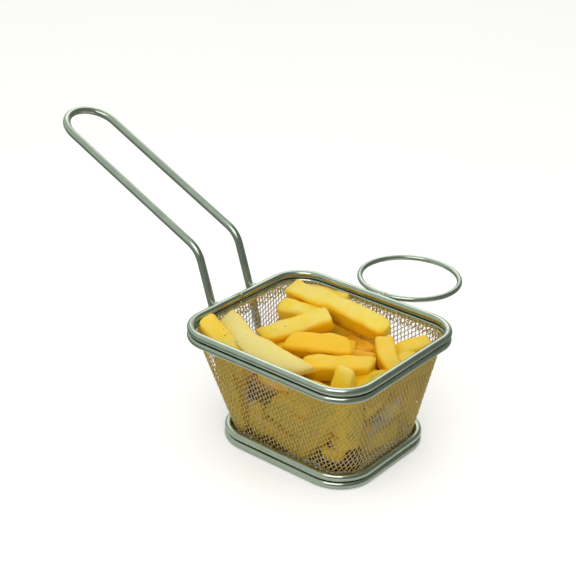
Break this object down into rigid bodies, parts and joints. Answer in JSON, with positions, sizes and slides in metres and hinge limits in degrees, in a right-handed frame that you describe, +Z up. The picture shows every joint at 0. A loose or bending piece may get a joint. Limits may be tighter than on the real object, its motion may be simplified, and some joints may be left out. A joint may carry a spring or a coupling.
{
  "type": "french fries portion",
  "caption": "Portion of french fries heaped in a small rectangular wire mesh fry basket with a long bent wire handle and a side ring for a sauce cup.",
  "frame": {"origin": "on the floor, at the middle of the whole object's footprint box (handle and sauce ring included)", "axes": "+X away from the handle along the basket's length, +Y towards the sauce ring, +Z up"},
  "size_m": [0.2272, 0.1555, 0.1364],
  "materials": {
    "stainless_wire": "polished stainless steel wire",
    "woven_steel": "woven stainless wire cloth",
    "fried_potato": "fried potato, soft satin, stands in for food"
  },
  "bodies": {
    "root": {"rim_upper_wire": "stainless_wire", "rim_lower_wire": "stainless_wire", "base_upper_wire": "stainless_wire", "base_lower_wire": "stainless_wire", "handle_wire": "stainless_wire", "sauce_ring": "stainless_wire", "woven_tub": "woven_steel", "fries_heap": "fried_potato"}
  },
  "joints": []
}
